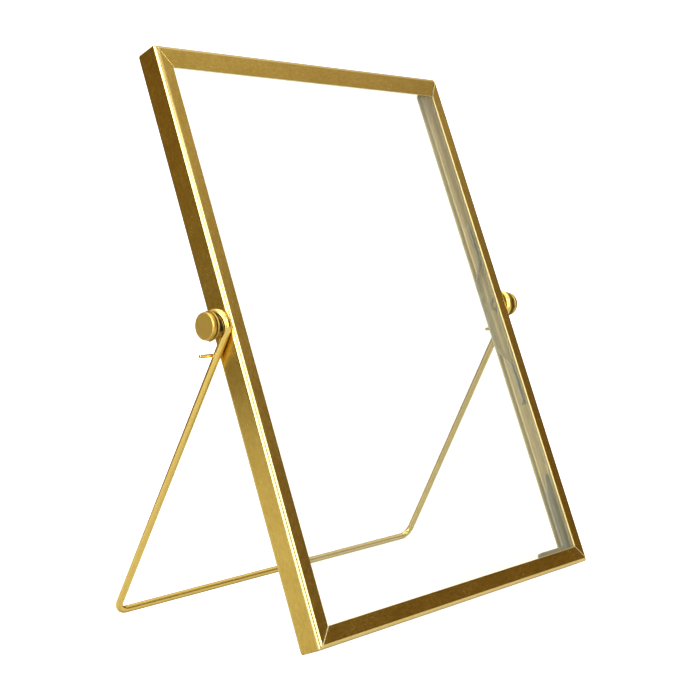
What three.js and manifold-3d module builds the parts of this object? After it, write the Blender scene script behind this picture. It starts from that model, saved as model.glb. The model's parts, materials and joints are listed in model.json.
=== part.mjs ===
// Floating picture frame: two panes of glass held in a rim of four mitred metal
// channel rails, leaning back on a looped wire stand that folds flat.
// Millimetres, +Z up. X runs across the frame, the front faces -Y, and the frame's
// lowest edge and the stand's foot rest on Z = 0.
//
// Inside the rim group the axes follow the leaning frame: X across, Y from the
// front face to the back (depth), and Z up the frame from its bottom edge (height).
import * as THREE from 'three';
import { mergeVertices } from 'three/addons/utils/BufferGeometryUtils.js';
import Module from 'manifold-3d';

// ---- driving dimensions ----
const WIDTH = 175; // overall, side rail to side rail
const HEIGHT = 240; // along the leaning frame
const TILT = THREE.MathUtils.degToRad(19.8); // lean from the vertical
const FOOT_BEHIND = 100; // foot bar behind the frame's rear bottom edge
const GAP = 0.3; // running and fitting clearance

const SHEET = 0.8; // rail sheet metal
const RAIL_DEPTH = 12;
const SIDE_FLANGE = 6.5; // front flanges, from the outer face
const TOP_FLANGE = 9.6;
const BOTTOM_FLANGE = 7.5;
const SIDE_LIP = 3.2; // rear lips, from the outer face
const TOP_LIP = 2.2;
const BOTTOM_LIP = 3.7;
const FRONT_RADIUS = 1.8; // outside of the front bend
const REAR_RADIUS = 1.8; // outside of the rear bend
const MITRE_GAP = 0.3;

const GLASS_THICKNESS = 1.5;
const GLASS_INSET = 2.5; // glass edge, in from the rail's outer face

const PLATE_THICKNESS = 1; // flat L plates in the bottom corners
const PLATE_SIDE_REACH = 40; // up the side rail, from the outer corner
const PLATE_SLANT = { width: 3.6, length: 11 }; // off the side leg's inner top corner
const PLATE_END_REACH = 26.5; // along the bottom rail
const PLATE_EDGE = 7; // inner edges of both legs
const PLATE_ROUND = 1.5;
const RIGHT_PLATE_SHIFT = { x: -1.6, z: 2.2 }; // the right one sits further in and shows

const BRACKET_THICKNESS = 1; // upright L strips in the top corners
const BRACKET_SIDE_REACH = 24;
const BRACKET_END_REACH = 22;
const BRACKET_FRONT = 1.4; // depth of its front edge
const BRACKET_WIDTH = 3; // along the depth
const BRACKET_ROUND = 1;

const SPRING_LENGTH = 90;
const SPRING_THICKNESS = 0.5;
const SPRING_OUTER = 1.5; // outer long edge, in from the rail's outer face
const SPRING_INNER = 4.5;
const SPRING_CROWN = 13; // half length of the flat crown
const SPRING_RAMP = 16; // length of each ramp
const SPRING_HEIGHT = 121; // its middle, up the frame

const PIVOT_HEIGHT = 125; // up the frame
const PIVOT_DEPTH = 5.3; // behind the front face
const WIRE_RADIUS = 1.5;
const LOOP_RADIUS = 5; // centreline of the wire's loop round the pivot
const LOOP_SWEEP = THREE.MathUtils.degToRad(285);
const FOOT_SPLAY = 5; // leg centreline outside the rail at the foot
const FOOT_BEND = 5; // centreline radius of the foot's bends

const KNOB_RADIUS = 5.4;
const KNOB_THICKNESS = 2;
const KNOB_FACE = 9; // knob's outer face, out from the rail
const KNOB_CHAMFER = 0.5;
const WASHER_RADIUS = 5.8; // between the knob and the loop
const WASHER_THICKNESS = 0.5;
const SCREW_RADIUS = 1.5;
const SCREW_HOLE = 1.9;
const SLEEVE_RADIUS = 3;
const SLEEVE_BORE = 1.8;
const NUT_ACROSS_FLATS = 5.5;
const NUT_THICKNESS = 1.1;

const PIN_RADIUS = 0.7;
const PIN_INNER_END = 4.2; // in from the rail's outer face
const PIN_OUTER_END = 8.3;
const PIN_CHAMFER = 0.3;

// ---- facets ----
const ROUND_SIDES = 32; // turned pieces
const HOLE_SIDES = 24;
const RAIL_BEND_STEPS = 5;
const PLATE_BEND_STEPS = 4;
const SPRING_STEPS = 60;
const LOOP_STEPS = 30;
const FOOT_BEND_STEPS = 8;
const WIRE_SIDES = 12;
const WELD_TOLERANCE = 1e-5;

// ---- places worked out from them ----
const HALF_WIDTH = WIDTH / 2;
const FRONT_PANE = SHEET + GAP;
const REAR_PANE = FRONT_PANE + GLASS_THICKNESS + GAP;
const BEHIND_GLASS = REAR_PANE + GLASS_THICKNESS + GAP;
const KNOB_BACK = KNOB_FACE - KNOB_THICKNESS;
const LOOP_START = WIRE_RADIUS + GAP; // wire centre out from the rail, at the leg
const WASHER_BACK = KNOB_BACK - GAP - WASHER_THICKNESS;
const LOOP_END = WASHER_BACK - GAP - WIRE_RADIUS; // wire centre at the loop's free end
const PIN_DEPTH = RAIL_DEPTH + GAP / 2 + PIN_RADIUS;

const gold = new THREE.MeshStandardMaterial({ color: 0xa98445, roughness: 0.38, metalness: 1 });
const wireGold = new THREE.MeshStandardMaterial({ color: 0xe0ba62, roughness: 0.3, metalness: 1 });
const steel = new THREE.MeshStandardMaterial({ color: 0xa9aa9e, roughness: 0.4, metalness: 1 });
const glass = new THREE.MeshStandardMaterial({
  color: 0xdfe8e4,
  roughness: 0.03,
  metalness: 0,
  transparent: true,
  opacity: 0.25,
});

// ---- booleans ----
const wasm = await Module();
wasm.setup();

function toManifold(geometry) {
  const bare = geometry.clone();
  bare.deleteAttribute('normal');
  bare.deleteAttribute('uv');
  const welded = mergeVertices(bare, WELD_TOLERANCE);
  return new wasm.Manifold(
    new wasm.Mesh({
      numProp: 3,
      vertProperties: new Float32Array(welded.attributes.position.array),
      triVerts: new Uint32Array(welded.index.array),
    }),
  );
}

function fromManifold(solid) {
  const mesh = solid.getMesh();
  const geometry = new THREE.BufferGeometry();
  geometry.setAttribute('position', new THREE.BufferAttribute(mesh.vertProperties, 3));
  geometry.setIndex(new THREE.BufferAttribute(mesh.triVerts, 1));
  geometry.computeVertexNormals();
  return geometry;
}

// ---- rails ----
// Section of a rail: x is the distance in from the outer face, y the depth.
function railSection(flange, lip) {
  const front = FRONT_RADIUS;
  const rear = RAIL_DEPTH - REAR_RADIUS;
  const shape = new THREE.Shape();
  shape.moveTo(flange, SHEET);
  shape.lineTo(front, SHEET);
  shape.absarc(front, front, front - SHEET, -Math.PI / 2, -Math.PI, true);
  shape.lineTo(SHEET, rear);
  shape.absarc(REAR_RADIUS, rear, REAR_RADIUS - SHEET, Math.PI, Math.PI / 2, true);
  shape.lineTo(lip, RAIL_DEPTH - SHEET);
  shape.lineTo(lip, RAIL_DEPTH);
  shape.lineTo(REAR_RADIUS, RAIL_DEPTH);
  shape.absarc(REAR_RADIUS, rear, REAR_RADIUS, Math.PI / 2, Math.PI, false);
  shape.lineTo(0, front);
  shape.absarc(front, front, front, Math.PI, (3 * Math.PI) / 2, false);
  shape.lineTo(flange, 0);
  shape.closePath();
  return shape;
}

// A rail cut at both ends along the line from the outer corner to the inner corner
// that its flange makes with its neighbour's.
function mitredRail(length, flange, lip, startNeighbour, endNeighbour) {
  const geometry = new THREE.ExtrudeGeometry(railSection(flange, lip), {
    depth: length,
    bevelEnabled: false,
    curveSegments: RAIL_BEND_STEPS,
  });
  const position = geometry.attributes.position;
  for (let i = 0; i < position.count; i += 1) {
    const atFarEnd = position.getZ(i) > length / 2;
    const slope = (atFarEnd ? endNeighbour : startNeighbour) / flange;
    const cut = slope * position.getX(i) + (MITRE_GAP / 2) * Math.hypot(1, slope);
    position.setZ(i, atFarEnd ? length - cut : cut);
  }
  return geometry;
}

// Side rail with the pivot screw's hole, at this distance from the rail's start.
function sideRail(pivotAlong, startNeighbour, endNeighbour) {
  const drill = new THREE.CylinderGeometry(SCREW_HOLE, SCREW_HOLE, 4 * SHEET, HOLE_SIDES);
  drill.rotateZ(Math.PI / 2);
  drill.translate(0, PIVOT_DEPTH, pivotAlong);
  const blank = mitredRail(HEIGHT, SIDE_FLANGE, SIDE_LIP, startNeighbour, endNeighbour);
  return fromManifold(toManifold(blank).subtract(toManifold(drill)));
}

// ---- glass, corner plates and brackets, and leaf springs ----
function pane() {
  const inset = 2 * GLASS_INSET;
  const geometry = new THREE.BoxGeometry(WIDTH - inset, GLASS_THICKNESS, HEIGHT - inset);
  geometry.translate(0, GLASS_THICKNESS / 2, HEIGHT / 2);
  return geometry;
}

// Flat L plate for the lower left corner; x and y in from the two outer faces.
function cornerPlate() {
  const start = SHEET + GAP;
  const round = PLATE_ROUND;
  const shape = new THREE.Shape();
  shape.moveTo(start + round, start);
  shape.lineTo(PLATE_END_REACH - round, start);
  shape.absarc(PLATE_END_REACH - round, start + round, round, -Math.PI / 2, 0, false);
  shape.lineTo(PLATE_END_REACH, PLATE_EDGE - round);
  shape.absarc(PLATE_END_REACH - round, PLATE_EDGE - round, round, 0, Math.PI / 2, false);
  shape.lineTo(PLATE_EDGE, PLATE_EDGE);
  shape.lineTo(PLATE_EDGE, PLATE_SIDE_REACH - PLATE_SLANT.length);
  shape.lineTo(PLATE_EDGE - PLATE_SLANT.width, PLATE_SIDE_REACH);
  shape.lineTo(start + round, PLATE_SIDE_REACH);
  shape.absarc(start + round, PLATE_SIDE_REACH - round, round, Math.PI / 2, Math.PI, false);
  shape.lineTo(start, start + round);
  shape.absarc(start + round, start + round, round, Math.PI, (3 * Math.PI) / 2, false);
  return stoodUp(shape, PLATE_THICKNESS);
}

// Upright L strip for the same corner, lying against the rails' outer walls.
function cornerBracket() {
  const start = SHEET + GAP;
  const inner = start + BRACKET_THICKNESS;
  const round = BRACKET_ROUND;
  const shape = new THREE.Shape();
  shape.moveTo(start + round, start);
  shape.lineTo(BRACKET_END_REACH, start);
  shape.lineTo(BRACKET_END_REACH, inner);
  shape.lineTo(inner, inner);
  shape.lineTo(inner, BRACKET_SIDE_REACH);
  shape.lineTo(start, BRACKET_SIDE_REACH);
  shape.lineTo(start, start + round);
  shape.absarc(start + round, start + round, round, Math.PI, (3 * Math.PI) / 2, false);
  return stoodUp(shape, BRACKET_WIDTH);
}

// Extrudes a shape and stands it up: its y becomes height, and the extrusion runs back.
function stoodUp(shape, depth) {
  const geometry = new THREE.ExtrudeGeometry(shape, {
    depth,
    bevelEnabled: false,
    curveSegments: PLATE_BEND_STEPS,
  });
  geometry.rotateX(Math.PI / 2);
  geometry.translate(0, depth, 0);
  return geometry;
}

// Depth of the leaf spring's middle plane at this distance from its centre.
function springDepth(along) {
  const seat = BEHIND_GLASS + SPRING_THICKNESS / 2;
  const crown = RAIL_DEPTH - SHEET - GAP - SPRING_THICKNESS / 2;
  const down = THREE.MathUtils.smootherstep(
    Math.abs(along),
    SPRING_CROWN,
    SPRING_CROWN + SPRING_RAMP,
  );
  return THREE.MathUtils.lerp(crown, seat, down);
}

// Bowed strip: its ends lie on the rear pane and its crown on the rail's rear lip.
function leafSpring() {
  const nearFace = [];
  const farFace = [];
  const step = SPRING_LENGTH / SPRING_STEPS;
  for (let i = 0; i <= SPRING_STEPS; i += 1) {
    const along = (i - SPRING_STEPS / 2) * step;
    const slope = (springDepth(along + step) - springDepth(along - step)) / (2 * step);
    const scale = SPRING_THICKNESS / 2 / Math.hypot(1, slope);
    nearFace.push(new THREE.Vector2(springDepth(along) - scale, along + slope * scale));
    farFace.unshift(new THREE.Vector2(springDepth(along) + scale, along - slope * scale));
  }
  const geometry = new THREE.ExtrudeGeometry(new THREE.Shape([...nearFace, ...farFace]), {
    depth: SPRING_INNER - SPRING_OUTER,
    bevelEnabled: false,
  });
  // drawn with x as depth and y along the rail; the strip's width runs across
  const across = new THREE.Matrix4().makeBasis(
    new THREE.Vector3(0, 1, 0),
    new THREE.Vector3(0, 0, 1),
    new THREE.Vector3(1, 0, 0),
  );
  geometry.applyMatrix4(across);
  return geometry;
}

// ---- pivot hardware; x runs outward from the rail's outer face ----
function turned(profile) {
  const geometry = new THREE.LatheGeometry(
    profile.map(([radius, outward]) => new THREE.Vector2(radius, outward)),
    ROUND_SIDES,
  );
  geometry.rotateZ(-Math.PI / 2);
  return geometry;
}

function pivotScrew() {
  const tip = -(SHEET + GAP + NUT_THICKNESS);
  const rim = KNOB_RADIUS - KNOB_CHAMFER;
  return turned([
    [0, tip],
    [SCREW_RADIUS, tip],
    [SCREW_RADIUS, KNOB_BACK],
    [rim, KNOB_BACK],
    [KNOB_RADIUS, KNOB_BACK + KNOB_CHAMFER],
    [KNOB_RADIUS, KNOB_FACE - KNOB_CHAMFER],
    [rim, KNOB_FACE],
    [0, KNOB_FACE],
  ]);
}

function knobWasher() {
  const front = WASHER_BACK + WASHER_THICKNESS;
  return turned([
    [SLEEVE_BORE, WASHER_BACK],
    [WASHER_RADIUS, WASHER_BACK],
    [WASHER_RADIUS, front],
    [SLEEVE_BORE, front],
    [SLEEVE_BORE, WASHER_BACK],
  ]);
}

function pivotSleeve() {
  const end = WASHER_BACK - GAP;
  return turned([
    [SLEEVE_BORE, GAP],
    [SLEEVE_RADIUS, GAP],
    [SLEEVE_RADIUS, end],
    [SLEEVE_BORE, end],
    [SLEEVE_BORE, GAP],
  ]);
}

function pivotNut() {
  const corner = NUT_ACROSS_FLATS / Math.sqrt(3);
  const shape = new THREE.Shape();
  for (let i = 0; i < 6; i += 1) {
    const angle = (i * Math.PI) / 3;
    const point = [corner * Math.cos(angle), corner * Math.sin(angle)];
    if (i === 0) shape.moveTo(...point);
    else shape.lineTo(...point);
  }
  shape.closePath();
  const bore = new THREE.Path();
  bore.absarc(0, 0, SLEEVE_BORE, 0, 2 * Math.PI, true);
  shape.holes.push(bore);
  const geometry = new THREE.ExtrudeGeometry(shape, {
    depth: NUT_THICKNESS,
    bevelEnabled: false,
    curveSegments: HOLE_SIDES / 2,
  });
  geometry.rotateY(Math.PI / 2);
  geometry.translate(-(SHEET + GAP + NUT_THICKNESS), 0, 0);
  return geometry;
}

// Round pin across the back of the side rail, which the open stand leans on.
function stopPin() {
  const tip = PIN_RADIUS - PIN_CHAMFER;
  return turned([
    [0, -PIN_INNER_END],
    [tip, -PIN_INNER_END],
    [PIN_RADIUS, -PIN_INNER_END + PIN_CHAMFER],
    [PIN_RADIUS, PIN_OUTER_END - PIN_CHAMFER],
    [tip, PIN_OUTER_END],
    [0, PIN_OUTER_END],
  ]);
}

// ---- wire stand ----
// The stand's own axes: X across, the legs run down -Z from the pivot axis, in
// front of it by the loop's radius.
function standSize() {
  const cos = Math.cos(TILT);
  const sin = Math.sin(TILT);
  // foot bar from the rear bottom corner, turned into the frame's own axes
  const rise = WIRE_RADIUS + REAR_RADIUS * (cos + sin - 1); // corner is rounded off
  const height = FOOT_BEHIND * sin + rise * cos;
  const depth = RAIL_DEPTH + FOOT_BEHIND * cos - rise * sin;
  const below = PIVOT_HEIGHT - height;
  const behind = depth - PIVOT_DEPTH;
  const reach = Math.hypot(below, behind);
  return {
    leg: Math.sqrt(reach * reach - LOOP_RADIUS * LOOP_RADIUS),
    opening: Math.atan2(behind, below) + Math.asin(LOOP_RADIUS / reach),
  };
}

const STAND = standSize();

// A path whose stations are the extrusion's own steps.
class StationPath extends THREE.Curve {
  constructor(stations) {
    super();
    this.stations = stations;
  }

  getUtoTmapping(u) {
    return u;
  }

  getPoint(t, target = new THREE.Vector3()) {
    const last = this.stations.length - 1;
    const along = THREE.MathUtils.clamp(t, 0, 1) * last;
    const index = Math.min(Math.floor(along), last - 1);
    return target.lerpVectors(this.stations[index], this.stations[index + 1], along - index);
  }
}

// Stations of the right half, from the loop's free end to the middle of the foot.
function halfStand() {
  const stations = [];
  for (let i = 0; i <= LOOP_STEPS; i += 1) {
    const turn = 1 - i / LOOP_STEPS;
    const angle = turn * LOOP_SWEEP;
    stations.push(
      new THREE.Vector3(
        HALF_WIDTH + THREE.MathUtils.lerp(LOOP_START, LOOP_END, turn),
        -LOOP_RADIUS * Math.cos(angle),
        LOOP_RADIUS * Math.sin(angle),
      ),
    );
  }
  const footX = HALF_WIDTH + FOOT_SPLAY;
  for (let i = 0; i <= FOOT_BEND_STEPS; i += 1) {
    const angle = (i / FOOT_BEND_STEPS) * (Math.PI / 2);
    stations.push(
      new THREE.Vector3(
        footX - FOOT_BEND * (1 - Math.cos(angle)),
        -LOOP_RADIUS,
        -STAND.leg + FOOT_BEND * (1 - Math.sin(angle)),
      ),
    );
  }
  return stations;
}

function standWire() {
  const right = halfStand();
  const left = right.map((point) => new THREE.Vector3(-point.x, point.y, point.z));
  const path = new StationPath([...right, ...left.reverse()]);
  const section = new THREE.Shape();
  section.absarc(0, 0, WIRE_RADIUS, 0, 2 * Math.PI, false);
  return new THREE.ExtrudeGeometry(section, {
    steps: path.stations.length - 1,
    extrudePath: path,
    curveSegments: WIRE_SIDES / 2,
    bevelEnabled: false,
  });
}

// ---- assembly ----
function mesh(name, geometry, material) {
  const part = new THREE.Mesh(geometry, material);
  part.name = name;
  return part;
}

function turnedAboutDepth(part, angle, x, z) {
  part.rotation.y = angle;
  part.position.set(x, 0, z);
  return part;
}

function endRail(flange, lip) {
  return mitredRail(WIDTH, flange, lip, SIDE_FLANGE, SIDE_FLANGE);
}

function rails() {
  // the right rail is drawn from the top down
  const leftRail = sideRail(PIVOT_HEIGHT, BOTTOM_FLANGE, TOP_FLANGE);
  const rightRail = sideRail(HEIGHT - PIVOT_HEIGHT, TOP_FLANGE, BOTTOM_FLANGE);
  const left = mesh('rail_left', leftRail, gold);
  const right = mesh('rail_right', rightRail, gold);
  const bottom = mesh('rail_bottom', endRail(BOTTOM_FLANGE, BOTTOM_LIP), gold);
  const top = mesh('rail_top', endRail(TOP_FLANGE, TOP_LIP), gold);
  return [
    turnedAboutDepth(left, 0, -HALF_WIDTH, 0),
    turnedAboutDepth(right, Math.PI, HALF_WIDTH, HEIGHT),
    turnedAboutDepth(bottom, -Math.PI / 2, HALF_WIDTH, 0),
    turnedAboutDepth(top, Math.PI / 2, -HALF_WIDTH, HEIGHT),
  ];
}

function panes() {
  const front = mesh('glass_front', pane(), glass);
  const rear = mesh('glass_rear', pane(), glass);
  front.position.y = FRONT_PANE;
  rear.position.y = REAR_PANE;
  return [front, rear];
}

// A mirror image across one axis, with its faces still outward.
function mirrored(geometry, axis) {
  const flat = geometry.index ? geometry.toNonIndexed() : geometry.clone();
  const scale = new THREE.Vector3(1, 1, 1);
  scale[axis] = -1;
  flat.scale(scale.x, scale.y, scale.z);
  const { array } = flat.attributes.position;
  for (let i = 0; i < array.length; i += 9) {
    for (let k = 0; k < 3; k += 1) {
      const held = array[i + 3 + k];
      array[i + 3 + k] = array[i + 6 + k];
      array[i + 6 + k] = held;
    }
  }
  flat.computeVertexNormals();
  return flat;
}

function cornerPieces() {
  const plate = cornerPlate();
  const bracket = mirrored(cornerBracket(), 'z');
  const lowerLeft = mesh('corner_plate_bottom_left', plate, steel);
  const lowerRight = mesh('corner_plate_bottom_right', mirrored(plate, 'x'), steel);
  const upperLeft = mesh('corner_bracket_top_left', bracket, steel);
  const upperRight = mesh('corner_bracket_top_right', mirrored(bracket, 'x'), steel);
  lowerLeft.position.set(-HALF_WIDTH, BEHIND_GLASS, 0);
  lowerRight.position.set(HALF_WIDTH + RIGHT_PLATE_SHIFT.x, BEHIND_GLASS, RIGHT_PLATE_SHIFT.z);
  upperLeft.position.set(-HALF_WIDTH, BRACKET_FRONT, HEIGHT);
  upperRight.position.set(HALF_WIDTH, BRACKET_FRONT, HEIGHT);
  return [lowerLeft, lowerRight, upperLeft, upperRight];
}

function sideParts(name, side) {
  const springX = side * HALF_WIDTH + (side < 0 ? SPRING_OUTER : -SPRING_INNER);
  const spring = mesh(`leaf_spring_${name}`, leafSpring(), steel);
  spring.position.set(springX, 0, SPRING_HEIGHT);
  const hardware = [
    mesh(`pivot_screw_${name}`, pivotScrew(), gold),
    mesh(`knob_washer_${name}`, knobWasher(), gold),
    mesh(`pivot_sleeve_${name}`, pivotSleeve(), steel),
    mesh(`pivot_nut_${name}`, pivotNut(), steel),
  ];
  hardware.forEach((part) => {
    turnedAboutOutward(part, side);
    part.position.y = PIVOT_DEPTH;
    part.position.z = PIVOT_HEIGHT;
  });
  const pin = mesh(`stop_pin_${name}`, stopPin(), wireGold);
  turnedAboutOutward(pin, side);
  pin.position.y = PIN_DEPTH;
  pin.position.z = stopPinPlace();
  return [spring, ...hardware, pin];
}

// Hardware is drawn pointing out of the right-hand rail; the left one is turned round.
function turnedAboutOutward(part, side) {
  part.rotation.y = side < 0 ? Math.PI : 0;
  part.position.x = side * HALF_WIDTH;
}

// Height of the pin that lies behind the open leg and on the rail's back.
function stopPinPlace() {
  const cos = Math.cos(STAND.opening);
  const sin = Math.sin(STAND.opening);
  const offset = LOOP_RADIUS - WIRE_RADIUS - GAP - PIN_RADIUS; // in front of the pivot
  const down = (PIN_DEPTH - PIVOT_DEPTH + offset * cos) / sin; // along the leg
  return PIVOT_HEIGHT - offset * sin - down * cos;
}

function stand() {
  const group = new THREE.Group();
  group.rotation.x = STAND.opening;
  group.position.set(0, PIVOT_DEPTH, PIVOT_HEIGHT);
  group.add(mesh('stand_wire', standWire(), wireGold));
  return group;
}

// The leaning frame stands on its rounded rear bottom edge.
function leaningFrame() {
  const group = new THREE.Group();
  group.rotation.x = -TILT;
  group.add(...rails(), ...panes(), ...cornerPieces());
  group.add(...sideParts('left', -1), ...sideParts('right', 1), stand());
  const cos = Math.cos(TILT);
  const sin = Math.sin(TILT);
  const edgeDepth = RAIL_DEPTH - REAR_RADIUS;
  const lowest = REAR_RADIUS * cos - edgeDepth * sin - REAR_RADIUS;
  const frontmost = FRONT_RADIUS * sin + FRONT_RADIUS * cos - FRONT_RADIUS;
  const rearmost = RAIL_DEPTH * cos + FOOT_BEHIND + WIRE_RADIUS;
  group.position.set(0, -(frontmost + rearmost) / 2, -lowest);
  return group;
}

const model = new THREE.Group();
model.add(leaningFrame());

export default model;
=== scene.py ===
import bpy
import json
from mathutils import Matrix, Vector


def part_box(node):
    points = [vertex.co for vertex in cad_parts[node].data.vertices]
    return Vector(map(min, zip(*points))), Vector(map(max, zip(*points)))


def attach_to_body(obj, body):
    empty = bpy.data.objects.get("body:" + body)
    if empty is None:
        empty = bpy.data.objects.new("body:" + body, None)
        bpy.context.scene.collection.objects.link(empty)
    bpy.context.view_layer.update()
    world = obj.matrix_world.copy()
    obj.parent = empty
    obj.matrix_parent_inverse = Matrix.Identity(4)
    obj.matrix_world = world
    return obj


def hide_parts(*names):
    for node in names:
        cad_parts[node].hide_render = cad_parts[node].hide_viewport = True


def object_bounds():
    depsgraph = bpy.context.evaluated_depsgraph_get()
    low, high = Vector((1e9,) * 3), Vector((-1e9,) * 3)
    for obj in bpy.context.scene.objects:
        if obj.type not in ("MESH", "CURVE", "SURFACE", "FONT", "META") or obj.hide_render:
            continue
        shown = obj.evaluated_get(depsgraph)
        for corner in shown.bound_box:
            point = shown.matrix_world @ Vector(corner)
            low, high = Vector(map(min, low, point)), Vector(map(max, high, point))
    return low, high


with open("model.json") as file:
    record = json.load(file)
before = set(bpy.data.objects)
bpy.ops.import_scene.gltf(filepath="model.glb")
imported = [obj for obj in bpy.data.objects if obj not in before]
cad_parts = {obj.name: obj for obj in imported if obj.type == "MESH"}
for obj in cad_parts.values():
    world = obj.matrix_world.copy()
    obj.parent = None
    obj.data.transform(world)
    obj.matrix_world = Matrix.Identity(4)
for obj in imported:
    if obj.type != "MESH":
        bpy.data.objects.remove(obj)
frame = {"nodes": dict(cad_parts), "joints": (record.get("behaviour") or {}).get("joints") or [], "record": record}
cad_box = [list(corner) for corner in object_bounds()]

# Looks for the floating picture frame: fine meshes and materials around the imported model.
# Lengths are worked out in millimetres and become metres when a mesh turns into an object.
import json
import math
import bmesh
import bpy
from mathutils import Matrix, Vector

MM = 0.001

# ---- driving dimensions, millimetres ----
GAP = 0.3                  # mitres, and clearance round moving pieces
SHEET = 0.8
SIDE_LIP = 3.2             # the lips are the rear flanges
TOP_LIP = 2.2
BOTTOM_LIP = 3.7
LOOSE_MITRE = 0.55         # the top rail's right end stands open by this much more
BEND_RADIUS = 1.8          # outside of both bends
BEND_STEPS = 12
EDGE_ROUND = 0.16          # broken edges of the cut sheet
PIVOT_BORE = 1.9
BORE_SIDES = 40
PANE_EDGE = 0.3            # ground edge of the glass

PLATE_ROUND = 1.5
PLATE_LEG = 5.9            # width of both legs
PLATE_SLANT = (3.6, 11)    # off the side leg's inner top corner: width and length
PLATE_INNER_ROUND = 0.6
PLATE_TIP_CUT = 0.4
PLATE_EDGE_ROUND = 0.14
PLATE_HOLES_UP = (0.4, 0.62)     # as shares of the side leg's height
PLATE_HOLES_IN = (5, 13)         # back from the end of the bottom leg
BRACKET_THICKNESS = 1
BRACKET_ROUND = 1
BRACKET_CORNER = 0.2       # extra round at the outer corner
BRACKET_INNER_ROUND = 0.4
PLATE_PUNCH_RADIUS = 0.9
PLATE_PUNCH_DEPTH = 0.35

SPRING_THICKNESS = 0.5
SPRING_CROWN = 13          # half length of the flat crown
SPRING_RAMP = 16
SPRING_HOOK = 2.6          # curled tip: length and rise
SPRING_TIP_RISE = 1.5
SPRING_EDGE_ROUND = 0.12
SPRING_STEPS = 96

WIRE_RADIUS = 1.5
LOOP_RADIUS = 5
LOOP_SWEEP = math.radians(285)
FOOT_SPLAY = 5
FOOT_BEND = 5
WIRE_END_CUT = 0.35
LOOP_STEPS = 96
LEG_STEPS = 12
FOOT_BEND_STEPS = 24

KNOB_RADIUS = 5.4
KNOB_THICKNESS = 2
KNOB_EDGE = 0.55
WASHER_RADIUS = 5.8
SCREW_RADIUS = 1.5
THREAD_PITCH = 0.5
THREAD_DEPTH = 0.14
THREAD_START = 0.5         # out from the rail; the thread runs inward from here
THREAD_RUN_OUT = 0.3       # plain taper outside it
KNOB_DISH = 0.02           # the face's middle, below its rim
KNOB_DISH_SHARE = 0.6
SLEEVE_RADIUS = 3
SLEEVE_BORE = 1.8
SLEEVE_CHAMFER = 0.25
WASHER_CHAMFER = 0.2
NUT_FLATS = 5.5
NUT_SIDES = 48
NUT_CHAMFER = 0.2
NUT_CAP = 0.92             # corner radius left at the nut's faces
PIN_RADIUS = 0.7
PIN_EDGE = 0.3
BEAD_SIZE = (1.35, 0.62, 1.25)
BEAD_INSET = SIDE_LIP - 1.3      # in from the rail's outer face
BEAD_BEHIND = 0.02               # centre, behind the rail's back face
FLOOR_RADIUS = 700

# ---- camera and light, metres ----
CAMERA_AZIMUTH = math.radians(-48.07)
CAMERA_ELEVATION = math.radians(1.94)
CAMERA_ROLL = math.radians(-1.585)
CAMERA_PLACE = Vector((-0.4327, -0.3918, 0.0291))   # from the middle of the object's box
CAMERA_LENS = 69.86
CAMERA_SHIFT = (-0.0201, -0.0669)

LIGHT_AIM = 0.12           # up from the table
FLOOR_GLOW = 2.2
BACKGROUND = 1.8
# colours of the room that reflections see, by the upward part of the direction, 0 at the horizon
ROOM = [(0.0, (0.22, 0.17, 0.08)), (0.08, (0.22, 0.125, 0.006)), (0.18, (0.13, 0.07, 0.004)),
        (0.37, (0.23, 0.17, 0.1)), (0.5, (0.47, 0.4, 0.33)), (0.62, (0.68, 0.62, 0.55)),
        (0.85, (1.0, 0.98, 0.95))]

# ---- axes of the leaning frame: X across, Y from front to back, Z up the frame ----
record = frame["record"]
joints = {joint["name"]: joint for joint in frame["joints"]}
mounts = {mount["name"]: mount for mount in record["mounts"]}
UP = Vector(joints["top_rail_pull"]["axis"]).normalized()
BACK = UP.cross(Vector((1, 0, 0)))
PIVOT = Vector(joints["stand_fold"]["pos_m"])
bottom_point = Vector(mounts["bottom_rail_face"]["pos_m"])
rail_front = min((v.co - bottom_point).dot(BACK) for v in frame["nodes"]["rail_left"].data.vertices)
LEAN = Matrix((Vector((1, 0, 0)), BACK, UP)).transposed().to_4x4()
LEAN.translation = bottom_point + BACK * rail_front


def span(node):
    """Lowest and highest corners of a CAD node along the leaning axes, in millimetres."""
    turn = LEAN.inverted()
    points = [turn @ v.co for v in frame["nodes"][node].data.vertices]
    return [Vector([pick(p[i] for p in points) for i in range(3)]) / MM for pick in (min, max)]


HALF_WIDTH = span("rail_right")[1].x
HEIGHT = span("rail_top")[1].z
RAIL_DEPTH = span("rail_left")[1].y
SIDE_FLANGE = HALF_WIDTH - span("rail_right")[0].x
TOP_FLANGE = HEIGHT - span("rail_top")[0].z
BOTTOM_FLANGE = span("rail_bottom")[1].z
pivot_local = LEAN.inverted() @ PIVOT / MM


# ---- mesh helpers ----
def finish_mesh(name, mesh, material, matrix):
    """Turns a bmesh in millimetres into an object in place. CAD nodes keep their own names."""
    name = name + "_fine" if name in frame["nodes"] else name
    bmesh.ops.recalc_face_normals(mesh, faces=mesh.faces)
    mesh.transform(matrix @ Matrix.Scale(MM, 4))
    data = bpy.data.meshes.new(name)
    mesh.to_mesh(data)
    mesh.free()
    piece = bpy.data.objects.new(name, data)
    bpy.context.scene.collection.objects.link(piece)
    data.materials.append(material)
    return piece


def bevel(piece, width, segments=2, angle=35):
    modifier = piece.modifiers.new("rounded edges", "BEVEL")
    modifier.width = width * MM
    modifier.segments = segments
    modifier.limit_method = "ANGLE"
    modifier.angle_limit = math.radians(angle)
    modifier.use_clamp_overlap = True
    modifier.miter_outer = "MITER_ARC"


def cut(piece, cutter):
    modifier = piece.modifiers.new("hole", "BOOLEAN")
    modifier.operation = "DIFFERENCE"
    modifier.object = cutter
    modifier.solver = "EXACT"
    settle(piece)
    bpy.data.objects.remove(cutter)


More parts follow.
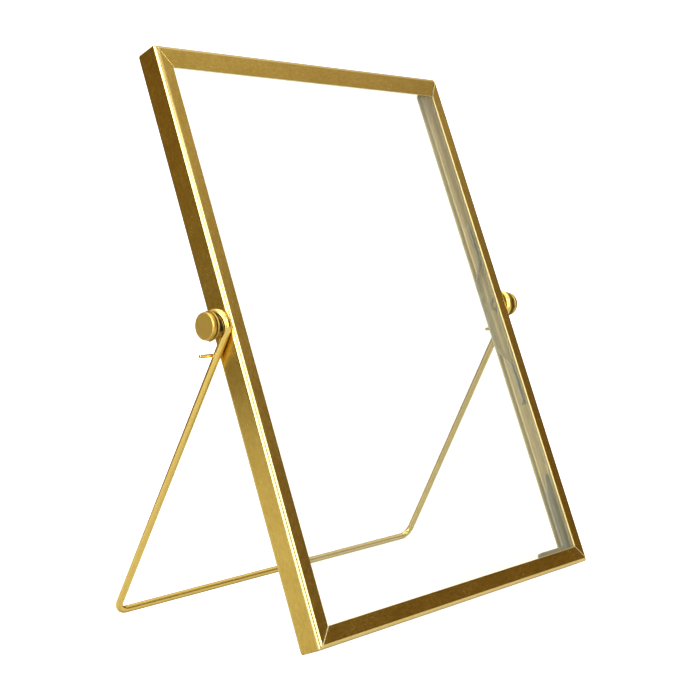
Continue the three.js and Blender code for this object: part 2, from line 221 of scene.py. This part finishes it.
def apply_modifiers(piece):
    graph = bpy.context.evaluated_depsgraph_get()
    graph.update()
    data = bpy.data.meshes.new_from_object(piece.evaluated_get(graph))
    piece.modifiers.clear()
    piece.data = data
    return data


def settle(piece, sharp=32):
    """Applies the modifiers, then shades smooth except across real edges."""
    data = apply_modifiers(piece)
    mesh = bmesh.new()
    mesh.from_mesh(data)
    for face in mesh.faces:
        face.smooth = True
    for edge in mesh.edges:
        edge.smooth = edge.is_manifold and edge.calc_face_angle(0) < math.radians(sharp)
    mesh.to_mesh(data)
    mesh.free()
    return piece


def strip_between(mesh, first, second):
    return [mesh.faces.new((first[i], first[i + 1], second[i + 1], second[i])) for i in range(len(first) - 1)]


def ring_between(mesh, first, second):
    count = len(first)
    for i in range(count):
        mesh.faces.new((first[i], first[(i + 1) % count], second[(i + 1) % count], second[i]))


def lathe(name, profile, material, matrix, sides=64):
    """Turned piece: profile of (radius, outward) points about local X. It closes on the axis or on itself."""
    mesh = bmesh.new()
    rings = []
    for radius, outward in profile:
        if radius == 0:
            rings.append([mesh.verts.new((outward, 0, 0))])
            continue
        angles = [2 * math.pi * i / sides for i in range(sides)]
        rings.append([mesh.verts.new((outward, radius * math.cos(a), radius * math.sin(a))) for a in angles])
    pairs = list(zip(rings, rings[1:]))
    if profile[0][0] > 0:
        pairs.append((rings[-1], rings[0]))
    for first, second in pairs:
        if len(first) == 1 or len(second) == 1:
            tip, rim = (first[0], second) if len(first) == 1 else (second[0], first)
            for i in range(sides):
                mesh.faces.new((tip, rim[i], rim[(i + 1) % sides]))
        else:
            ring_between(mesh, first, second)
    return finish_mesh(name, mesh, material, matrix)


def arc(centre, radius, start, end, steps):
    """Points of an arc, angles in degrees."""
    turns = [math.radians(start + (end - start) * i / steps) for i in range(steps + 1)]
    return [(centre[0] + radius * math.cos(t), centre[1] + radius * math.sin(t)) for t in turns]


# ---- materials ----
def node(tree, kind, inputs=None, **settings):
    made = tree.nodes.new("ShaderNode" + kind)
    for key, value in settings.items():
        setattr(made, key, value)
    for key, value in (inputs or {}).items():
        if isinstance(value, bpy.types.NodeSocket):
            tree.links.new(value, made.inputs[key])
        else:
            made.inputs[key].default_value = value
    return made


def ramp(tree, value, stops):
    made = node(tree, "ValToRGB", {"Fac": value})
    elements = made.color_ramp.elements
    while len(elements) < len(stops):
        elements.new(0.5)
    for element, (place, colour) in zip(elements, stops):
        element.position = place
        element.color = (*colour, 1)
    return made.outputs["Color"]


def show(tree, kind, shader):
    """Links a shader to the tree's output: kind is Material or World."""
    output = node(tree, "Output" + kind)
    tree.links.new(shader.outputs[0], output.inputs["Surface"])


def new_material(name):
    made = bpy.data.materials.new(name)
    made.use_nodes = True
    made.node_tree.nodes.clear()
    return made, made.node_tree


LEAN_ANGLE = math.atan2(BACK.z, BACK.y)


def metal(name, dark, light, roughness, draw=(1, 1, 1), grain=900, bump=0.12, rings=False,
          spread=0.06, edge=0.35):
    """Satin metal: fine grain drawn out along one leaning axis, soft patches of tone, paler worn edges.

    spread is how far the roughness varies, and edge how pale the worn edges are. rings adds turning marks.
    """
    made, tree = new_material(name)
    place = node(tree, "Mapping", {"Vector": node(tree, "TexCoord").outputs["Object"], "Location": PIVOT,
                                   "Rotation": (LEAN_ANGLE, 0, 0)}, vector_type="TEXTURE").outputs["Vector"]
    along = node(tree, "Mapping", {"Vector": place, "Scale": draw}).outputs["Vector"]
    fine = node(tree, "TexNoise", {"Vector": along, "Scale": grain, "Detail": 4.0, "Roughness": 0.65})
    patch = node(tree, "TexNoise", {"Vector": place, "Scale": 60.0, "Detail": 4.0, "Roughness": 0.5})
    height = fine.outputs["Fac"]
    if rings:
        turned = node(tree, "TexWave", {"Vector": place, "Scale": 420.0, "Distortion": 0.6, "Detail": 2.0},
                      wave_type="RINGS", rings_direction="X")
        height = node(tree, "MixRGB", {"Fac": 0.5, "Color1": turned.outputs["Fac"],
                                       "Color2": height}).outputs["Color"]
    mixed = node(tree, "MixRGB", {"Fac": 0.3, "Color1": height, "Color2": patch.outputs["Fac"]})
    tone = mixed.outputs["Color"]
    colour = ramp(tree, tone, [(0.36, dark), (0.64, light)])
    if edge:
        worn = node(tree, "MapRange", {"Value": node(tree, "NewGeometry").outputs["Pointiness"],
                                       "From Min": 0.53, "From Max": 0.62, "To Max": edge}).outputs["Result"]
        pale = Vector(light).lerp(Vector((0.92, 0.92, 0.92)), 0.55)
        colour = node(tree, "MixRGB", {"Fac": worn, "Color1": colour, "Color2": (*pale, 1)}).outputs["Color"]
    rough = node(tree, "MapRange", {"Value": tone, "From Min": 0.3, "From Max": 0.7,
                                    "To Min": roughness - spread,
                                    "To Max": roughness + spread}).outputs["Result"]
    relief = node(tree, "Bump", {"Height": height, "Strength": bump, "Distance": 0.00006}).outputs["Normal"]
    show(tree, "Material", node(tree, "BsdfPrincipled", {"Base Color": colour, "Metallic": 1.0,
                                                         "Roughness": rough, "Normal": relief}))
    return made


def clear_glass(name, tint, reflectivity, smear):
    """Thin clear glass: light passes straight through, with a Fresnel gloss and faint smears."""
    made, tree = new_material(name)
    place = node(tree, "TexCoord").outputs["Object"]
    cloud = node(tree, "TexNoise", {"Vector": place, "Scale": 22.0, "Detail": 5.0, "Roughness": 0.6})
    rough = node(tree, "MapRange", {"Value": cloud.outputs["Fac"], "From Min": 0.35, "From Max": 0.75,
                                    "To Min": 0.01, "To Max": 0.025}).outputs["Result"]
    through = node(tree, "BsdfTransparent", {"Color": (*tint, 1)})
    gloss = node(tree, "BsdfGlossy", {"Color": (1, 1, 1, 1), "Roughness": rough})
    slant = node(tree, "LayerWeight", {"Blend": 0.5}).outputs["Facing"]
    steep = node(tree, "Math", {0: slant, 1: 5.0}, operation="POWER").outputs[0]
    facing = node(tree, "MapRange", {"Value": steep, "To Min": reflectivity, "To Max": 1.0}).outputs["Result"]
    haze = node(tree, "BsdfDiffuse", {"Color": (0.92, 0.9, 0.76, 1)})
    dust = node(tree, "MapRange", {"Value": cloud.outputs["Fac"], "From Min": 0.3, "From Max": 0.8,
                                   "To Min": smear * 0.6, "To Max": smear}).outputs["Result"]
    body = node(tree, "MixShader", {0: dust, 1: through.outputs[0], 2: haze.outputs[0]})
    mixed = node(tree, "MixShader", {0: facing, 1: body.outputs[0], 2: gloss.outputs[0]})
    show(tree, "Material", mixed)
    return made


GOLD_DARK = (0.6, 0.415, 0.085)
GOLD_LIGHT = (0.77, 0.55, 0.135)
GOLD_SMOOTH = {"grain": 900, "bump": 0.02, "spread": 0.02, "edge": 0}
RAIL_FINISH = {"grain": 1250, "bump": 0.1, "spread": 0.03, "edge": 0}
RAIL_ROUGHNESS = 0.25
gold_up = metal("satin gold, grain up", GOLD_DARK, GOLD_LIGHT, RAIL_ROUGHNESS,
                draw=(1, 1, 0.5), **RAIL_FINISH)
gold_across = metal("satin gold, grain across", GOLD_DARK, GOLD_LIGHT, RAIL_ROUGHNESS,
                    draw=(0.5, 1, 1), **RAIL_FINISH)
raw_edge = metal("cut sheet edge", (0.86, 0.72, 0.36), (0.96, 0.84, 0.5), 0.5, grain=600, bump=0.3)
# Bends: smoother gold, and its paler, whiter colour is partly painted highlight, so the lamp highlights along the
# bends read white.
bend_gold_painted_highlight = metal("smoother gold at the bends, paled for painted highlight", (0.76, 0.58, 0.2), (0.82, 0.64, 0.25), 0.19, **GOLD_SMOOTH)
gold_inside = metal("gold inside the channel", (0.62, 0.5, 0.25), (0.7, 0.57, 0.31), 0.4,
                    **{**GOLD_SMOOTH, "bump": 0.04})
gold_turned = metal("turned gold", GOLD_DARK, GOLD_LIGHT, 0.4, grain=700, bump=0.14, rings=True)
# Knob washers: rougher gold whose darker colour is painted shade for the gap behind the knob, dimming the rim's
# highlight.
washer_gold_painted_shade = metal("washer gold darkened as painted shade", (0.4, 0.28, 0.07), (0.52, 0.38, 0.11), 0.45, grain=700, edge=0)
gold_wire = metal("drawn gold wire", (0.9, 0.65, 0.17), (0.96, 0.72, 0.21), 0.24, **GOLD_SMOOTH)
weld_gold = metal("brazed gold", (0.6, 0.42, 0.12), (0.72, 0.53, 0.2), 0.36, grain=350, bump=0.4)
# Pivot sleeves and nuts: the near-black colour is painted shade, standing in for the dark gap between the knob and
# the wire loop.
shade_dark_steel = metal("steel darkened as painted shade", (0.2, 0.19, 0.14), (0.3, 0.28, 0.21), 0.42, grain=260, bump=0.2)
zinc = metal("zinc plated steel", (0.56, 0.56, 0.5), (0.7, 0.7, 0.63), 0.4, grain=260, bump=0.2)
spring_steel = metal("spring steel", (0.4, 0.4, 0.38), (0.56, 0.56, 0.53), 0.28, draw=(1, 1, 0.1))
glass = clear_glass("clear float glass", (0.955, 0.965, 0.94), 0.04, 0.055)
glass_edge = clear_glass("ground glass edge", (0.85, 0.9, 0.84), 0.08, 0.45)


def attach(piece, body, nodes):
    """Keeps flat faces evenly shaded, then ties the piece to its body and hides the CAD nodes it stands for."""
    piece.modifiers.new("even shading", "WEIGHTED_NORMAL").keep_sharp = True
    apply_modifiers(piece)
    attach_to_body(piece, body)
    if nodes:
        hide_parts(*nodes)
    return piece


# ---- rails ----
FLAT_FINISH, EDGE_FINISH, BEND_FINISH, INSIDE_FINISH = range(4)


def rail_section(flange, lip):
    """Outer and inner faces of the folded sheet, as (inward, depth) pairs of equal length."""
    outer = [(flange, 0.0)]
    inner = [(flange, SHEET)]
    for centre, angles in (((BEND_RADIUS, BEND_RADIUS), (270, 180)),
                           ((BEND_RADIUS, RAIL_DEPTH - BEND_RADIUS), (180, 90))):
        outer += arc(centre, BEND_RADIUS, *angles, BEND_STEPS)
        inner += arc(centre, BEND_RADIUS - SHEET, *angles, BEND_STEPS)
    outer.append((lip, RAIL_DEPTH))
    inner.append((lip, RAIL_DEPTH - SHEET))
    return outer, inner


def rail(name, corner, along, inward, length, flanges, lip, material, body, pivot=None, loose=0):
    """Folded channel cut at both ends from the outer to the inner corner. flanges: start, own, end."""
    outer, inner = rail_section(flanges[1], lip)
    mesh = bmesh.new()
    rings = []
    for end in (0, 1):
        slope = flanges[2 * end] / flanges[1]
        ring = []
        for line in (outer, inner):
            row = []
            for reach, depth in line:
                distance = slope * reach + (GAP / 2 + end * loose) * math.hypot(1, slope)
                place = corner + along * (length - distance if end else distance) + inward * reach
                row.append(mesh.verts.new(place + Vector((0, depth, 0))))
            ring.append(row)
        rings.append(ring)
    flats = (0, BEND_STEPS + 1, 2 * BEND_STEPS + 2)
    for i, face in enumerate(strip_between(mesh, rings[0][0], rings[1][0])):
        face.material_index = FLAT_FINISH if i in flats else BEND_FINISH
    for face in strip_between(mesh, rings[0][1], rings[1][1]):
        face.material_index = INSIDE_FINISH
    cut_faces = []
    for edge in (0, -1):
        cut_faces.append(mesh.faces.new((rings[0][0][edge], rings[0][1][edge],
                                         rings[1][1][edge], rings[1][0][edge])))
    for ring in rings:
        for i in range(len(outer) - 1):
            cut_faces.append(mesh.faces.new((ring[0][i], ring[0][i + 1], ring[1][i + 1], ring[1][i])))
    for face in cut_faces:
        face.material_index = EDGE_FINISH
    piece = finish_mesh(name, mesh, material, LEAN)
    for other in (raw_edge, bend_gold_painted_highlight, gold_inside):
        piece.data.materials.append(other)
    if pivot:
        profile = [(0, -3 * SHEET), (PIVOT_BORE, -3 * SHEET), (PIVOT_BORE, 3 * SHEET), (0, 3 * SHEET)]
        drill = lathe("drill", profile, material, LEAN @ Matrix.Translation(pivot * MM), sides=BORE_SIDES)
        cut(piece, drill)
    bevel(piece, EDGE_ROUND, segments=3)
    settle(piece)
    return attach(piece, body, [name])


def rails():
    across, up = Vector((1, 0, 0)), Vector((0, 0, 1))
    low_left = Vector((-HALF_WIDTH, 0, 0))
    low_right = Vector((HALF_WIDTH, 0, 0))
    top_left = Vector((-HALF_WIDTH, 0, HEIGHT))
    bore = Vector((HALF_WIDTH, pivot_local.y, pivot_local.z))
    left_bore = Vector((-bore.x, bore.y, bore.z))
    upright = (BOTTOM_FLANGE, SIDE_FLANGE, TOP_FLANGE)
    side = (upright, SIDE_LIP, gold_up, "frame")
    rail("rail_left", low_left, up, across, HEIGHT, *side, pivot=left_bore)
    rail("rail_right", low_right, up, -across, HEIGHT, *side, pivot=bore)
    rail("rail_bottom", low_left, across, up, 2 * HALF_WIDTH,
         (SIDE_FLANGE, BOTTOM_FLANGE, SIDE_FLANGE), BOTTOM_LIP, gold_across, "frame")
    rail("rail_top", top_left, across, -up, 2 * HALF_WIDTH,
         (SIDE_FLANGE, TOP_FLANGE, SIDE_FLANGE), TOP_LIP, gold_across, "top_rail", loose=LOOSE_MITRE)


# ---- glass ----
def pane(name):
    low, high = span(name)
    mesh = bmesh.new()
    bmesh.ops.create_cube(mesh, size=1)
    for vert in mesh.verts:
        vert.co = Vector([low[i] if vert.co[i] < 0 else high[i] for i in range(3)])
    piece = finish_mesh(name, mesh, glass, LEAN)
    bevel(piece, PANE_EDGE, segments=2)
    settle(piece)
    piece.data.materials.append(glass_edge)
    for face in piece.data.polygons:
        face.material_index = 0 if abs(face.normal.y) > 0.9 else 1
    attach(piece, "frame", [name])


# ---- corner plates and leaf springs ----
PUNCH_PROFILE = [(0, -PLATE_PUNCH_DEPTH), (PLATE_PUNCH_RADIUS * 0.5, -PLATE_PUNCH_DEPTH * 0.8),
                 (PLATE_PUNCH_RADIUS, 0.2), (0, 0.2)]


def inner_corner(leg, round_radius, steps):
    middle = leg + round_radius
    return arc((middle, middle), round_radius, 270, 180, steps)


def plate_outline(reach_x, reach_z):
    """L outline from its outer corner, in (inward, along) millimetres."""
    r = PLATE_ROUND
    leg = PLATE_LEG
    points = arc((r, r), r, 180, 270, 6)
    points += arc((reach_x - r, r), r, 270, 360, 6)
    points += arc((reach_x - r, leg - r), r, 0, 90, 6)
    points += inner_corner(leg, PLATE_INNER_ROUND, 4)
    points += [(leg, reach_z - PLATE_SLANT[1]), (leg - PLATE_SLANT[0], reach_z)]
    return points + [(PLATE_TIP_CUT, reach_z), (0, reach_z - PLATE_TIP_CUT)]


def bracket_outline(reach_x, reach_z):
    """The same for a thin strip bent on edge."""
    r = BRACKET_ROUND + BRACKET_CORNER
    leg = BRACKET_THICKNESS
    points = arc((r, r), r, 180, 270, 8)
    points += [(reach_x, 0), (reach_x, leg)]
    points += inner_corner(leg, BRACKET_INNER_ROUND, 6)
    return points + [(leg, reach_z), (0, reach_z)]


def corner_piece(name, body, outline):
    low, high = span(name)
    side = 1 if low.x < 0 else -1
    rise = 1 if low.z < HEIGHT / 2 else -1
    corner = Vector((low.x if side > 0 else high.x, 0, low.z if rise > 0 else high.z))
    reach_x, reach_z = high.x - low.x, high.z - low.z
    mesh = bmesh.new()
    verts = [mesh.verts.new((corner.x + side * x, low.y, corner.z + rise * z))
             for x, z in outline(reach_x, reach_z)]
    face = mesh.faces.new(verts)
    made = bmesh.ops.extrude_face_region(mesh, geom=[face])["geom"]
    for vert in made:
        if isinstance(vert, bmesh.types.BMVert):
            vert.co.y = high.y
    piece = finish_mesh(name, mesh, zinc, LEAN)
    if outline is plate_outline:
        middle = PLATE_LEG / 2
        holes = [(middle, reach_z * share) for share in PLATE_HOLES_UP]
        holes += [(reach_x - back, middle) for back in PLATE_HOLES_IN]
        for x, z in holes:
            place = Vector((corner.x + side * x, high.y, corner.z + rise * z))
            axes = LEAN @ Matrix.Translation(place * MM) @ Matrix.Rotation(math.pi / 2, 4, "Z")
            cut(piece, lathe("punch", PUNCH_PROFILE, zinc, axes, sides=24))
    bevel(piece, PLATE_EDGE_ROUND, segments=2)
    settle(piece)
    attach(piece, body, [name])


def smoother(t):
    t = min(max(t, 0), 1)
    return t * t * t * (t * (6 * t - 15) + 10)


def leaf_spring(name):
    low, high = span(name)
    middle = (low.z + high.z) / 2
    half = (high.z - low.z) / 2
    seat = low.y + SPRING_THICKNESS / 2
    crown = high.y - SPRING_THICKNESS / 2
    path = []
    for i in range(SPRING_STEPS + 1):
        along = half * (2 * i / SPRING_STEPS - 1)
        depth = crown + (seat - crown) * smoother((abs(along) - SPRING_CROWN) / SPRING_RAMP)
        tip = max(0, (abs(along) - (half - SPRING_HOOK)) / SPRING_HOOK)
        path.append(Vector((0, depth + SPRING_TIP_RISE * tip * tip, middle + along)))
    mesh = bmesh.new()
    rows = {}
    for i, point in enumerate(path):
        ahead = path[min(i + 1, SPRING_STEPS)] - path[max(i - 1, 0)]
        across = Vector((0, -ahead.z, ahead.y)).normalized() * (SPRING_THICKNESS / 2)
        for key, x, sign in (("a", low.x, 1), ("b", high.x, 1), ("c", high.x, -1), ("d", low.x, -1)):
            rows.setdefault(key, []).append(mesh.verts.new(point + across * sign + Vector((x, 0, 0))))
    for first, second in ("ab", "bc", "cd", "da"):
        strip_between(mesh, rows[first], rows[second])
    for end in (0, -1):
        mesh.faces.new([rows[key][end] for key in "abcd"])
    piece = finish_mesh(name, mesh, spring_steel, LEAN)
    bevel(piece, SPRING_EDGE_ROUND, segments=2, angle=50)
    settle(piece)
    attach(piece, "frame", [name])


# ---- pivot hardware: local X runs outward from the side rail ----
def outward_axes(side, place):
    turn = Matrix.Rotation(0 if side > 0 else math.pi, 4, "Z")
    return LEAN @ Matrix.Translation(place * MM) @ turn


def pivot_axes(side):
    return outward_axes(side, Vector((side * HALF_WIDTH, pivot_local.y, pivot_local.z)))


def outward_span(name):
    """Inner and outer ends of a CAD node, out from the side rail's face."""
    low, high = span(name)
    return [pick(abs(low.x), abs(high.x)) - HALF_WIDTH for pick in (min, max)]


def pivot_screw(name, side, body):
    tip, face = outward_span(name)
    back = face - KNOB_THICKNESS
    profile = [(0, tip)]
    turns = int((THREAD_START - tip) / THREAD_PITCH)
    for i in range(turns):
        at = tip + i * THREAD_PITCH
        profile += [(SCREW_RADIUS - THREAD_DEPTH, at), (SCREW_RADIUS, at + THREAD_PITCH / 2)]
    profile += [(SCREW_RADIUS - THREAD_DEPTH, tip + turns * THREAD_PITCH),
                (SCREW_RADIUS, THREAD_START + THREAD_RUN_OUT), (SCREW_RADIUS, back)]
    rim = KNOB_RADIUS - KNOB_EDGE
    profile += [(r, x) for x, r in arc((back + KNOB_EDGE, rim), KNOB_EDGE, 180, 90, 6)]
    profile += [(r, x) for x, r in arc((face - KNOB_EDGE, rim), KNOB_EDGE, 90, 0, 8)]
    profile += [(rim * KNOB_DISH_SHARE, face - KNOB_DISH), (0, face - KNOB_DISH)]
    piece = lathe(name, profile, gold_turned, pivot_axes(side), sides=96)
    settle(piece)
    attach(piece, body, [name])


def bored_round(name, side, radius, chamfer, material, body):
    """Sleeve or washer on the pivot screw."""
    start, end = outward_span(name)
    profile = [(SLEEVE_BORE, start + chamfer), (SLEEVE_BORE + chamfer, start), (radius - chamfer, start),
               (radius, start + chamfer), (radius, end - chamfer), (radius - chamfer, end),
               (SLEEVE_BORE + chamfer, end), (SLEEVE_BORE, end - chamfer)]
    piece = settle(lathe(name, profile, material, pivot_axes(side)), sharp=50)
    attach(piece, body, [name])


def pivot_nut(name, side):
    start, end = outward_span(name)
    mesh = bmesh.new()
    rings = []
    corner = NUT_FLATS / math.sqrt(3)
    angles = [2 * math.pi * i / NUT_SIDES for i in range(NUT_SIDES)]
    for x, cap in ((start, NUT_CAP), (start + NUT_CHAMFER, 1), (end - NUT_CHAMFER, 1), (end, NUT_CAP)):
        ring = []
        for angle in angles:
            flat = (angle + math.pi / 6) % (math.pi / 3) - math.pi / 6
            hexagon = NUT_FLATS / 2 / math.cos(flat - math.pi / 6 * (1 if flat > 0 else -1))
            radius = min(hexagon, corner * cap)
            ring.append(mesh.verts.new((x, radius * math.sin(angle), radius * math.cos(angle))))
        rings.append(ring)
    bores = []
    for x in (end, start):
        bores.append([mesh.verts.new((x, SLEEVE_BORE * math.sin(a), SLEEVE_BORE * math.cos(a)))
                      for a in angles])
    loops = rings + bores + rings[:1]
    for first, second in zip(loops, loops[1:]):
        ring_between(mesh, first, second)
    piece = settle(finish_mesh(name, mesh, shade_dark_steel, pivot_axes(side)))
    attach(piece, "frame", [name])


def stop_pin(name, side):
    low, high = span(name)
    start, end = outward_span(name)
    shoulder = PIN_RADIUS - PIN_EDGE
    profile = [(0, start)] + [(y, x) for x, y in arc((start + PIN_EDGE, shoulder), PIN_EDGE, 180, 90, 5)]
    profile += [(y, x) for x, y in arc((end - PIN_EDGE, shoulder), PIN_EDGE, 90, 0, 5)] + [(0, end)]
    place = Vector((side * HALF_WIDTH, (low.y + high.y) / 2, (low.z + high.z) / 2))
    piece = settle(lathe(name, profile, gold_wire, outward_axes(side, place), sides=40))
    attach(piece, "frame", [name])
    weld = bead("stop_pin_weld_" + name.split("_")[-1], side, place)
    attach(weld, "frame", [])


def bead(name, side, place):
    """Brazed fillet that holds the stop pin to the rail's back, lumpy by two sine waves."""
    mesh = bmesh.new()
    bmesh.ops.create_uvsphere(mesh, u_segments=32, v_segments=20, radius=1)
    for vert in mesh.verts:
        lump = 1 + 0.07 * math.sin(5 * vert.co.x + 2 * vert.co.z) + 0.05 * math.sin(9 * vert.co.z + 1)
        vert.co = Vector([size * along for size, along in zip(BEAD_SIZE, vert.co)]) * lump
    seat = Vector((place.x - side * BEAD_INSET, RAIL_DEPTH + BEAD_BEHIND, place.z))
    return settle(finish_mesh(name, mesh, weld_gold, LEAN @ Matrix.Translation(seat * MM)))


# ---- wire stand ----
def stand_path(leg):
    """Centre line from the right loop's free end to the left one's, legs down -Z from the pivot."""
    start = WIRE_RADIUS + GAP
    washer_back = span("knob_washer_right")[0].x - HALF_WIDTH
    finish = washer_back - GAP - WIRE_RADIUS
    half = []
    for i in range(LOOP_STEPS + 1):
        turn = 1 - i / LOOP_STEPS
        angle = turn * LOOP_SWEEP
        x = HALF_WIDTH + start + (finish - start) * turn
        half.append(Vector((x, -LOOP_RADIUS * math.cos(angle), LOOP_RADIUS * math.sin(angle))))
    foot = HALF_WIDTH + FOOT_SPLAY
    for i in range(1, LEG_STEPS):
        share = i / LEG_STEPS
        half.append(Vector((HALF_WIDTH + start + (foot - HALF_WIDTH - start) * share, -LOOP_RADIUS,
                            -(leg - FOOT_BEND) * share)))
    for i in range(FOOT_BEND_STEPS + 1):
        angle = math.pi / 2 * i / FOOT_BEND_STEPS
        half.append(Vector((foot - FOOT_BEND * (1 - math.cos(angle)), -LOOP_RADIUS,
                            -leg + FOOT_BEND * (1 - math.sin(angle)))))
    return half + [Vector((-point.x, point.y, point.z)) for point in reversed(half)]


def tube(name, path, radius, material, matrix, sides=28):
    """Round bar along a path, carried by a frame that doesn't twist, with broken ends."""
    mesh = bmesh.new()
    count = len(path)
    rings = []
    normal = Vector((1, 0, 0))
    angles = [2 * math.pi * i / sides for i in range(sides)]
    blunt = radius - WIRE_END_CUT
    stations = [(path[0], path[1] - path[0], blunt)]
    for i, point in enumerate(path):
        stations.append((point, path[min(i + 1, count - 1)] - path[max(i - 1, 0)], radius))
    stations.append((path[-1], path[-1] - path[-2], blunt))
    for index, end, inner in ((1, path[0], path[1]), (-2, path[-1], path[-2])):
        stations[index] = (end + (inner - end).normalized() * WIRE_END_CUT, stations[index][1], radius)
    for place, heading, width in stations:
        heading = heading.normalized()
        normal = (normal - heading * normal.dot(heading)).normalized()
        side = heading.cross(normal)
        rings.append([mesh.verts.new(place + (normal * math.cos(a) + side * math.sin(a)) * width)
                      for a in angles])
    for first, second in zip(rings, rings[1:]):
        ring_between(mesh, first, second)
    mesh.faces.new(rings[0])
    mesh.faces.new(rings[-1])
    return settle(finish_mesh(name, mesh, material, matrix))


def stand():
    low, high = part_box("stand_wire")
    foot = Vector((0, high.y - WIRE_RADIUS * MM, low.z + WIRE_RADIUS * MM)) - PIVOT
    reach = foot.length / MM
    leg = math.sqrt(reach ** 2 - LOOP_RADIUS ** 2)
    swing = math.atan2(foot.y, -foot.z) + math.asin(LOOP_RADIUS / reach)
    axes = Matrix.Translation(PIVOT) @ Matrix.Rotation(swing, 4, "X")
    piece = tube("stand_wire", stand_path(leg), WIRE_RADIUS, gold_wire, axes)
    attach(piece, "stand", ["stand_wire"])


# ---- floor, light and camera ----
def floor():
    """Pale table. To the camera it also glows a little, as an overexposed studio sweep does."""
    made, tree = new_material("pale table")
    place = node(tree, "TexCoord").outputs["Object"]
    cloud = node(tree, "TexNoise", {"Vector": place, "Scale": 9.0, "Detail": 3.0})
    colour = ramp(tree, cloud.outputs["Fac"], [(0.3, (0.5, 0.5, 0.49)), (0.7, (0.53, 0.53, 0.52))])
    matt = node(tree, "BsdfDiffuse", {"Color": colour, "Roughness": 0.5})
    seen = node(tree, "LightPath").outputs["Is Camera Ray"]
    strength = node(tree, "Math", {0: seen, 1: FLOOR_GLOW}, operation="MULTIPLY").outputs[0]
    glow = node(tree, "Emission", {"Color": colour, "Strength": strength})
    both = node(tree, "AddShader", {0: matt.outputs[0], 1: glow.outputs[0]})
    show(tree, "Material", both)
    mesh = bmesh.new()
    bmesh.ops.create_circle(mesh, cap_ends=True, segments=96, radius=FLOOR_RADIUS)
    table = finish_mesh("floor", mesh, made, Matrix.Identity(4))


def softbox(name, azimuth, elevation, distance, width, height, power):
    """Area light that faces the object, in degrees, metres and watts. Minus azimuth is to its left."""
    data = bpy.data.lights.new(name, "AREA")
    data.shape = "RECTANGLE"
    data.size = width
    data.size_y = height
    data.energy = power
    lamp = bpy.data.objects.new(name, data)
    bpy.context.scene.collection.objects.link(lamp)
    turn, rise = math.radians(azimuth), math.radians(elevation)
    heading = Vector((math.sin(turn) * math.cos(rise), -math.cos(turn) * math.cos(rise), math.sin(rise)))
    lamp.location = Vector((0, 0, LIGHT_AIM)) + heading * distance
    lamp.rotation_euler = heading.to_track_quat("Z", "Y").to_euler()
    lamp.visible_camera = False


def lights():
    data = bpy.data.lights.new("overhead", "SUN")
    data.energy = 1.3
    data.angle = math.radians(60)
    lamp = bpy.data.objects.new("overhead", data)
    bpy.context.scene.collection.objects.link(lamp)
    softbox("left box", -84, 16, 1.2, 0.9, 1.1, 15)
    softbox("front box", -16, 16, 1.2, 0.8, 1.1, 12)


def surroundings():
    """White where the camera looks; in reflections a warm dim room that brightens overhead."""
    world = bpy.data.worlds.new("studio")
    bpy.context.scene.world = world
    world.use_nodes = True
    tree = world.node_tree
    tree.nodes.clear()
    heading = node(tree, "TexCoord").outputs["Generated"]
    height = node(tree, "SeparateXYZ", {0: heading}).outputs["Z"]
    room = ramp(tree, height, ROOM)
    seen = node(tree, "LightPath").outputs["Is Camera Ray"]
    mixed = node(tree, "MixRGB", {"Fac": seen, "Color1": room, "Color2": (*3 * [BACKGROUND], 1)})
    background = node(tree, "Background", {"Color": mixed.outputs["Color"], "Strength": 1.0})
    show(tree, "World", background)


def camera():
    middle = (Vector(cad_box[0]) + Vector(cad_box[1])) / 2
    level = math.cos(CAMERA_ELEVATION)
    back = Vector((math.sin(CAMERA_AZIMUTH) * level, -math.cos(CAMERA_AZIMUTH) * level,
                   math.sin(CAMERA_ELEVATION)))
    data = bpy.data.cameras.new("camera")
    data.lens = CAMERA_LENS
    data.sensor_width = 36
    data.shift_x, data.shift_y = CAMERA_SHIFT
    data.clip_start = 0.01
    eye = bpy.data.objects.new("camera", data)
    bpy.context.scene.collection.objects.link(eye)
    turn = back.to_track_quat("Z", "Y").to_matrix().to_4x4() @ Matrix.Rotation(CAMERA_ROLL, 4, "Z")
    eye.matrix_world = Matrix.Translation(middle + CAMERA_PLACE) @ turn
    bpy.context.scene.camera = eye
    bpy.context.scene.view_settings.view_transform = "Standard"


# ---- the object ----
rails()
for name in ("glass_front", "glass_rear"):
    pane(name)
for name in ("corner_plate_bottom_left", "corner_plate_bottom_right"):
    corner_piece(name, "frame", plate_outline)
for name in ("corner_bracket_top_left", "corner_bracket_top_right"):
    corner_piece(name, "top_rail", bracket_outline)
for side_name, side in (("left", -1), ("right", 1)):
    leaf_spring("leaf_spring_" + side_name)
    pivot_screw("pivot_screw_" + side_name, side, "knob_" + side_name)
    bored_round("pivot_sleeve_" + side_name, side, SLEEVE_RADIUS, SLEEVE_CHAMFER, shade_dark_steel,
                "frame")
    bored_round("knob_washer_" + side_name, side, WASHER_RADIUS, WASHER_CHAMFER, washer_gold_painted_shade,
                "knob_" + side_name)
    pivot_nut("pivot_nut_" + side_name, side)
    stop_pin("stop_pin_" + side_name, side)
stand()
camera()
floor()
lights()
surroundings()
